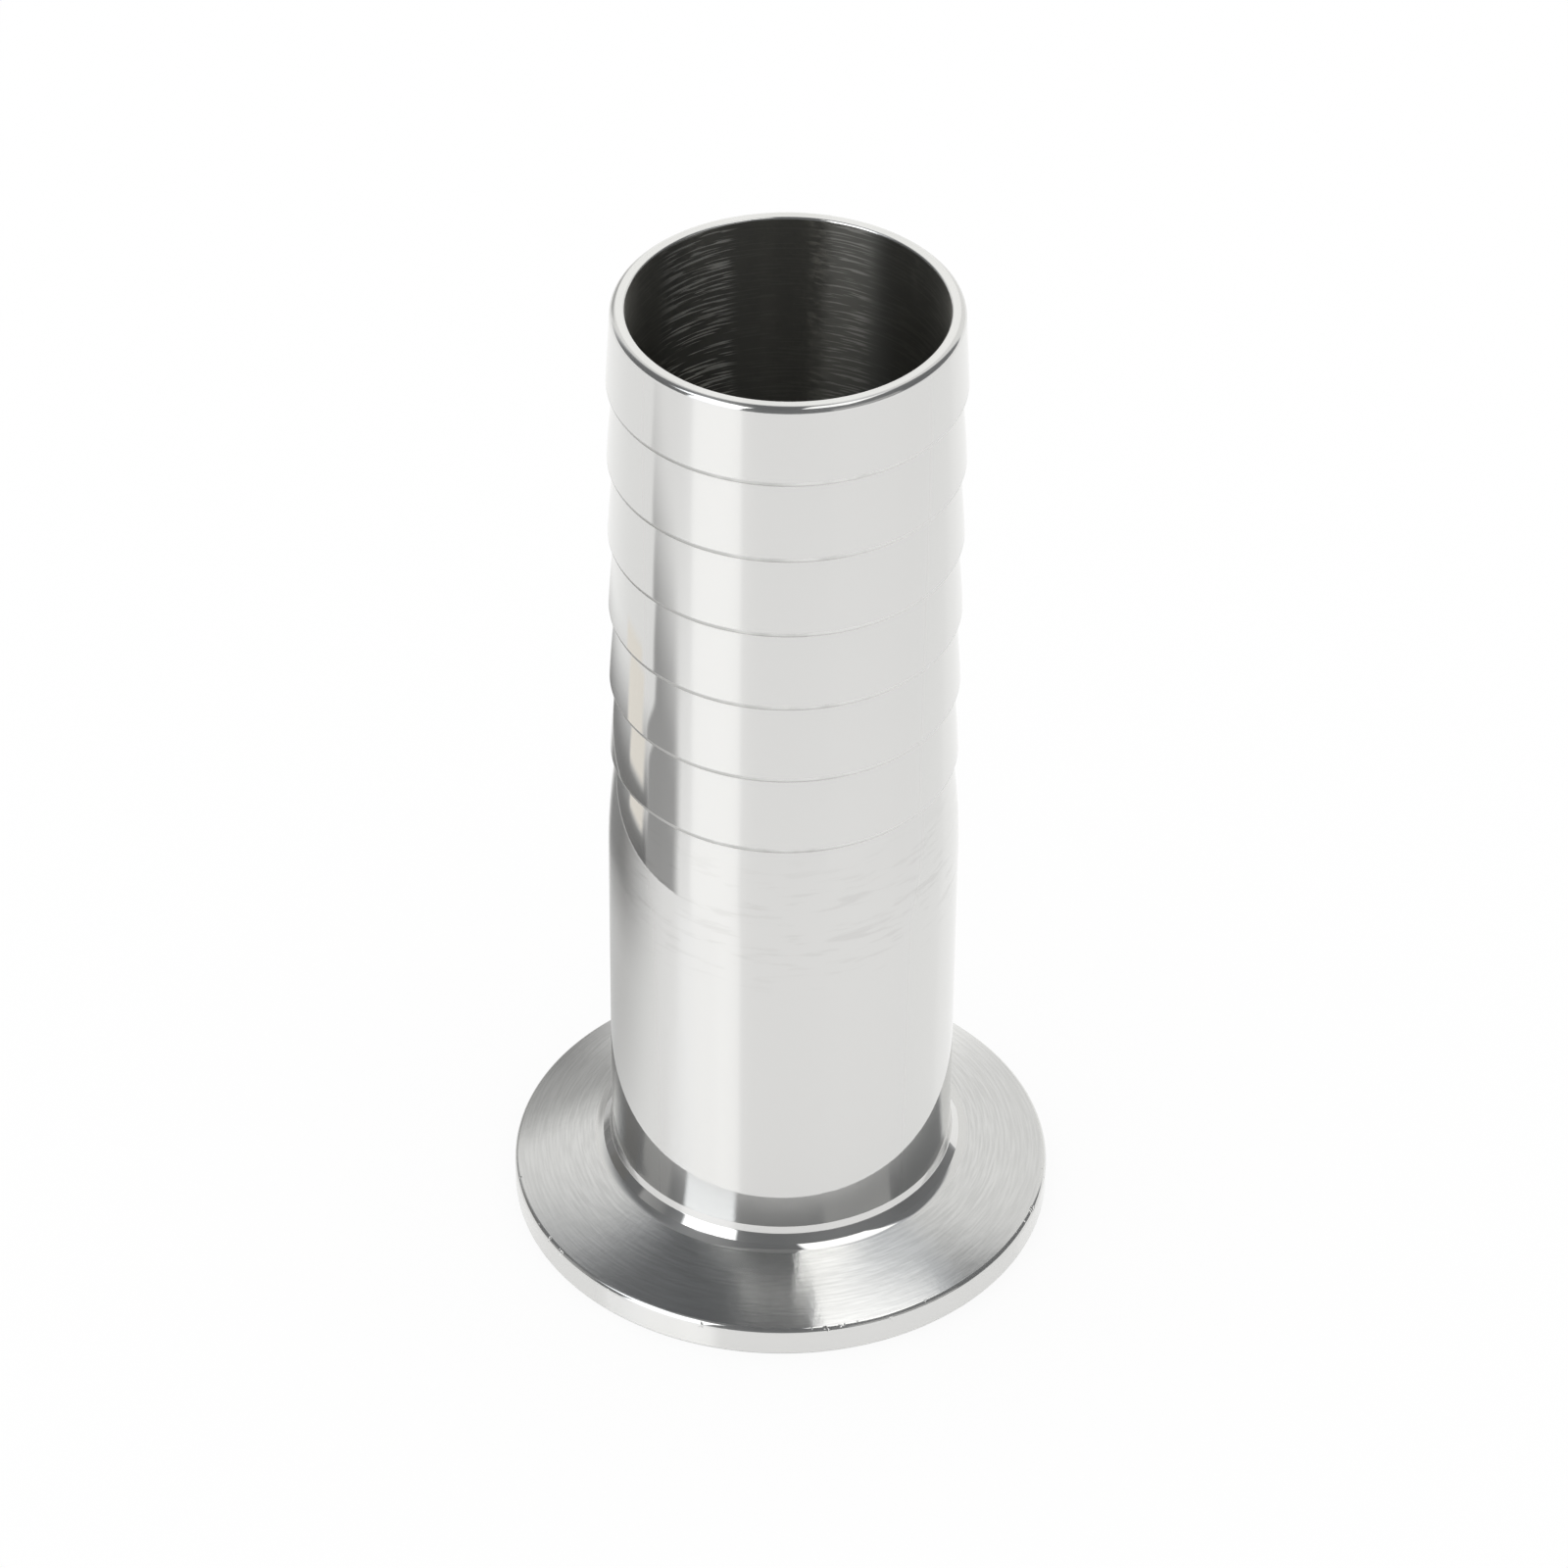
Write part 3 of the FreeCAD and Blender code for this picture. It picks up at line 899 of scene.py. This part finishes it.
def glowing_material(name):
    """A stage material, which is no lamp, its nodes, and the bearing, radius and height on it."""
    material = bpy.data.materials.new(name)
    material.cycles.emission_sampling = "NONE"
    shader = Shader(material)
    x, y, z = shader.parts(shader.node("TexCoord").outputs["Object"])
    return material, shader, x.angle_from(-y), (x * x + y * y).root(), z


# The table, and the shade painted on it under the flange and before the card, which only the steel's
# reflections see. Bearings here run to the left
TABLE_ROUGHNESS = 0.1
CONTACT_SOFTNESS = 0.1 * MM
SHADE_STARTS = in_degrees(97, 50)
SHADE_ENDS = in_degrees(150, 20)
SHADE_AT_FLANGE = 0.5
SHADE_DEEPENS, SHADE_SOFTNESS = 0.68, 0.25
SHADE_EDGE = 4 * MM


def build_table(studio):
    """White table, which keeps a soft shadow under and around the flange. The steel's reflections also
    see painted shade on it under the flange and before the card.
    """
    material, shader, bearing, radius, _ = glowing_material("white table")
    # Under the flange the steel's reflections see none of the table's glow: painted shade
    outside = shader.step(radius, FLANGE_RADIUS, CONTACT_SOFTNESS)
    path = shader.node("LightPath")
    camera = Signal(path.outputs["Is Camera Ray"])
    mirror = Signal(path.outputs["Is Glossy Ray"]).most(path.outputs["Is Transmission Ray"])
    # Painted shadow before the card, for the steel's reflections only; the card casts none
    distance = studio.card_distance
    deeper = shader.step(radius, SHADE_DEEPENS * distance, SHADE_SOFTNESS * distance)
    depth = SHADE_AT_FLANGE + (1 - SHADE_AT_FLANGE) * deeper
    before = shader.step(-bearing, *SHADE_STARTS) * (1 - shader.step(-bearing, *SHADE_ENDS))
    shade = before * depth * (1 - shader.step(radius, distance, SHADE_EDGE)) * studio.painted_card_shade
    seen = outside * (1 - shade) * studio.table_glow
    lit = shader.node("BsdfDiffuse", None, {"Color": grey(1 - studio.table_glow)}).outputs[0]
    white = shader.add(shader.glow(camera * studio.table_glow + mirror * seen), lit)
    glossy = {"Color": grey(studio.table_gloss), "Roughness": TABLE_ROUGHNESS}
    gloss = shader.node("BsdfGlossy", None, glossy).outputs[0]
    shader.finish(shader.mix_shader(camera, shader.add(white, gloss), white))
    half = studio.table_size / 2
    corners = [(-half, -half, 0), (half, -half, 0), (half, half, 0), (-half, half, 0)]
    table = stage_mesh("table", corners, [(0, 1, 2, 3)], material)
    table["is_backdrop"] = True


# The card's ends, gap and tops: edges and their softness, with the tops as shares of a height
CARD_BENDS = np.radians(np.arange(-60, -176, -4))
NEAR_BEARINGS = in_degrees(-84, 0, 4)
NEAR_FADE = in_degrees(-66, 7)
NEAR_WIDTH = math.radians(17)
NEAR_TOP = (0.7, 0.63)
NEAR_SLANT = 0.25
FOOT_SPREAD = math.radians(7)
FOOT_TOP = (20 * MM, 10 * MM)
FAR_BEARINGS = in_degrees(-160, -80, 20)
FAR_TOP = (0.55, 0.9)
GAP_BEARINGS = in_degrees(-112, -95, 4)
GAP_HEIGHTS = (8 * MM, 26 * MM, 4 * MM)


def build_card(studio):
    """Low dark card to the left, which only the steel's reflections show: a painted reflection, a dimly
    glowing sheet that casts no shadow, with a beige gap.
    """
    material, shader, bearing, _, height = glowing_material("painted dark reflection card")
    spread = (1 - shader.step(height, *FOOT_TOP)) * FOOT_SPREAD
    near = shader.window(bearing + spread, *NEAR_BEARINGS) * (1 - shader.step(bearing, *NEAR_FADE))
    far = shader.window(bearing, *FAR_BEARINGS)
    across = (bearing - NEAR_BEARINGS[0]) / NEAR_WIDTH
    near_height = height / studio.card_height + across * NEAR_SLANT
    near_cover = near * (1 - shader.step(near_height, *NEAR_TOP))
    far_cover = far * (1 - shader.step(height / studio.card_far_height, *FAR_TOP))
    gap = shader.window(bearing, *GAP_BEARINGS) * shader.window(height, *GAP_HEIGHTS)
    covered = near_cover.most(far_cover) * (1 - gap)
    level = studio.card_far_level + near * (studio.card_level - studio.card_far_level)
    clear = shader.mix_shader(gap, shader.clear(grey(1)), shader.clear(studio.gap_reflection_colour))
    shader.finish(shader.mix_shader(covered, clear, shader.glow(level)))
    rim = np.column_stack([np.sin(CARD_BENDS), -np.cos(CARD_BENDS)]) * studio.card_distance
    low = [(x, y, 0) for x, y in rim]
    high = [(x, y, studio.card_height) for x, y in rim]
    count = len(low)
    faces = [(i, i + 1, count + i + 1, count + i) for i in range(count - 1)]
    card = stage_mesh("card", low + high, faces, material)
    card.visible_camera = False
    card.visible_diffuse = False
    card.visible_shadow = False
    card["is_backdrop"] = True


class MESH_OT_turn_hose_barb(bpy.types.Operator):
    """Turn the hose barb from its section and give it its finishes"""

    bl_idname = "mesh.turn_hose_barb"
    bl_label = "Turn Hose Barb"

    def execute(self, context):
        sizes = context.scene.barb_sizes
        looks = context.scene.barb_looks
        mesh = revolve(draw_section(sizes), "turned_barb", sizes.segments)
        for finish in (polished_steel, brushed_steel, scratched_steel, turned_steel, crest_steel_with_painted_shade):
            mesh.materials.append(finish(looks))
        piece = bpy.data.objects.new("turned_barb", mesh)
        context.scene.collection.objects.link(piece)
        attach(piece, "root")
        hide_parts(NODE)
        return {"FINISHED"}


class SCENE_OT_set_hose_barb_stage(bpy.types.Operator):
    """Lay the white table, light it and place the camera"""

    bl_idname = "scene.set_hose_barb_stage"
    bl_label = "Set the Stage"

    def execute(self, context):
        scene = context.scene
        studio = scene.barb_studio
        camera = bpy.data.objects.new("camera", bpy.data.cameras.new("camera"))
        scene.collection.objects.link(camera)
        camera.location = (0, -studio.camera_distance, studio.camera_height)
        aim = Vector((0, 0, studio.aim_height)) - camera.location
        roll = Quaternion((0, 0, 1), studio.camera_roll)
        camera.rotation_mode = "QUATERNION"
        camera.rotation_quaternion = aim.to_track_quat("-Z", "Y") @ roll
        camera.data.lens = studio.lens
        scene.camera = camera
        scene.view_settings.view_transform = "Standard"
        scene.world = build_world(studio)
        build_table(studio)
        build_card(studio)
        return {"FINISHED"}


class VIEW3D_PT_hose_barb(bpy.types.Panel):
    """Sizes, finishes and studio of the hose barb"""

    bl_idname = "VIEW3D_PT_hose_barb"
    bl_label = "Hose Barb"
    bl_space_type = "VIEW_3D"
    bl_region_type = "UI"
    bl_category = "Hose Barb"

    def draw(self, context):
        layout = self.layout
        layout.use_property_split = True
        scene = context.scene
        for group in (scene.barb_sizes, scene.barb_looks, scene.barb_studio):
            box = layout.box()
            for name in group.__annotations__:
                box.prop(group, name)
        for operator in OPERATORS:
            layout.operator(operator.bl_idname)


GROUPS = {"barb_sizes": BarbSizes, "barb_looks": BarbLooks, "barb_studio": BarbStudio}
OPERATORS = (MESH_OT_turn_hose_barb, SCENE_OT_set_hose_barb_stage)
CLASSES = (*GROUPS.values(), *OPERATORS, VIEW3D_PT_hose_barb)


def register():
    for cls in CLASSES:
        bpy.utils.register_class(cls)
    for name, group in GROUPS.items():
        setattr(bpy.types.Scene, name, PointerProperty(type=group))


def unregister():
    for name in GROUPS:
        delattr(bpy.types.Scene, name)
    for cls in reversed(CLASSES):
        bpy.utils.unregister_class(cls)


def main():
    register()
    bpy.ops.mesh.turn_hose_barb()
    bpy.ops.scene.set_hose_barb_stage()
    boxes = {"cad": CAD_BOX, "visual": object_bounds()}
    {name: [list(corner) for corner in box] for name, box in boxes.items()}


if __name__ == "__main__":
    main()
